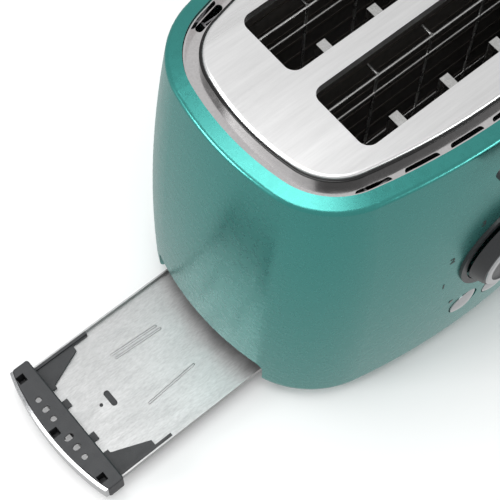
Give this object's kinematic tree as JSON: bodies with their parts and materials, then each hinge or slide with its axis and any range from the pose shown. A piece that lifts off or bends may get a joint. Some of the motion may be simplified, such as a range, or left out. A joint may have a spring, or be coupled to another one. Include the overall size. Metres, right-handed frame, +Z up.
{
  "type": "two-slot toaster",
  "caption": "Two-slot pop-up toaster with a teal casing, raised steel top, side lever, knob and buttons, and a crumb tray that slides out at one end.",
  "frame": {"origin": "the surface that the feet stand on, under the middle of the casing", "axes": "+X along the bread slots, the crumb tray pulls out towards -X; -Y towards the lever and knob; +Z up"},
  "size_m": [0.3566, 0.1817, 0.197],
  "materials": {
    "teal_paint": "satin metallic teal paint",
    "polished_steel": "polished",
    "satin_steel": "fine satin",
    "seal_gloss": "polished black",
    "base_plastic": "matt black",
    "black_plastic": "matt black",
    "white_plastic": "matt",
    "zinc": "zinc plated",
    "galvanised": "galvanised sheet",
    "mica": "mica sheet",
    "ribbon": "oxidised resistance ribbon",
    "spring_steel": "bright drawn wire",
    "iron": "plain",
    "copper": "enamelled winding wire",
    "board_green": "lacquered board",
    "knob_plastic": "satin anthracite",
    "handle_plastic": "fine grained anthracite",
    "lens": "dark translucent lens",
    "dark_steel": "heat darkened",
    "guide_steel": "bright wire",
    "chrome": "polished",
    "tray_steel": "plain rolled sheet",
    "rubber": "moulded"
  },
  "bodies": {
    "casing": {"body_shell": "teal_paint", "vent_ring": "polished_steel", "top_plate": "satin_steel", "plate_seal": "seal_gloss", "base_plate": "base_plastic", "base_screws": "zinc", "tray_surround": "base_plastic", "cord_gland": "black_plastic", "terminal_block": "white_plastic", "end_frame_left": "galvanised", "end_frame_right": "galvanised", "reflector_front": "galvanised", "reflector_rear": "galvanised", "heater_board_front": "mica", "heater_board_centre": "mica", "heater_board_rear": "mica", "heater_ribbon_front": "ribbon", "heater_ribbon_centre": "ribbon", "heater_ribbon_rear": "ribbon", "slide_bracket": "galvanised", "guide_rod_left": "polished_steel", "guide_rod_right": "polished_steel", "return_spring_left": "spring_steel", "return_spring_right": "spring_steel", "magnet_core": "iron", "magnet_coils": "copper", "control_stand": "black_plastic", "control_board": "board_green", "browning_control": "black_plastic", "knob_bezel": "knob_plastic", "button_switches": "black_plastic", "indicator_lenses": "lens", "tray_rail_front": "galvanised", "tray_rail_rear": "galvanised", "foot_front_left": "rubber", "foot_front_right": "rubber", "foot_rear_left": "rubber", "foot_rear_right": "rubber"},
    "carriage": {"carriage_block": "black_plastic", "lifter_yoke": "galvanised", "lever_arm": "galvanised", "lever_handle": "knob_plastic", "keeper_plate": "iron", "bread_lifter_front": "dark_steel", "bread_lifter_rear": "dark_steel"},
    "front_slot_front_guide": {"front_slot_strip_guide": "guide_steel"},
    "front_slot_back_guide": {"front_slot_wire_guide": "guide_steel"},
    "rear_slot_front_guide": {"rear_slot_strip_guide": "guide_steel"},
    "rear_slot_back_guide": {"rear_slot_wire_guide": "guide_steel"},
    "knob": {"control_shaft": "zinc", "knob_barrel": "knob_plastic", "knob_ring": "chrome", "knob_cap": "knob_plastic"},
    "left_button": {"button_left": "chrome"},
    "middle_button": {"button_middle": "chrome"},
    "right_button": {"button_right": "chrome"},
    "tray": {"crumb_tray": "tray_steel", "tray_handle": "handle_plastic", "tray_trim": "chrome"}
  },
  "joints": [
    {"name": "tray_slide", "type": "slide", "parent": "casing", "child": "tray", "axis": [1, 0, 0], "range_m": [-0.136, 0.1]},
    {"name": "lever_slide", "type": "slide", "parent": "casing", "child": "carriage", "axis": [0, 0, -1], "range_m": [0, 0.038], "stiffness_N_per_m": 150, "springref_m": -0.03, "deforming": ["return_spring_left", "return_spring_right"]},
    {"name": "front_slot_front_guide_slide", "type": "slide", "parent": "casing", "child": "front_slot_front_guide", "axis": [0, 1, 0], "range_m": [0, 0.0031]},
    {"name": "front_slot_back_guide_slide", "type": "slide", "parent": "casing", "child": "front_slot_back_guide", "axis": [0, -1, 0], "range_m": [0, 0.0031]},
    {"name": "rear_slot_front_guide_slide", "type": "slide", "parent": "casing", "child": "rear_slot_front_guide", "axis": [0, 1, 0], "range_m": [0, 0.0031]},
    {"name": "rear_slot_back_guide_slide", "type": "slide", "parent": "casing", "child": "rear_slot_back_guide", "axis": [0, -1, 0], "range_m": [0, 0.0031]},
    {"name": "knob_turn", "type": "hinge", "parent": "casing", "child": "knob", "pos_m": [0, -0.09, 0.093], "axis": [0, -1, 0], "range_deg": [-135, 135]},
    {"name": "left_button_press", "type": "slide", "parent": "casing", "child": "left_button", "axis": [0, 1, 0], "range_m": [0, 0.001], "stiffness_N_per_m": 600, "springref_m": -0.0015},
    {"name": "middle_button_press", "type": "slide", "parent": "casing", "child": "middle_button", "axis": [0, 1, 0], "range_m": [0, 0.001], "stiffness_N_per_m": 600, "springref_m": -0.0015},
    {"name": "right_button_press", "type": "slide", "parent": "casing", "child": "right_button", "axis": [0, 1, 0], "range_m": [0, 0.001], "stiffness_N_per_m": 600, "springref_m": -0.0015}
  ],
  "couplings": [
    {"joint": "front_slot_front_guide_slide", "follows": "lever_slide", "ratio": 0.078947},
    {"joint": "front_slot_back_guide_slide", "follows": "lever_slide", "ratio": 0.078947},
    {"joint": "rear_slot_front_guide_slide", "follows": "lever_slide", "ratio": 0.078947},
    {"joint": "rear_slot_back_guide_slide", "follows": "lever_slide", "ratio": 0.078947}
  ]
}
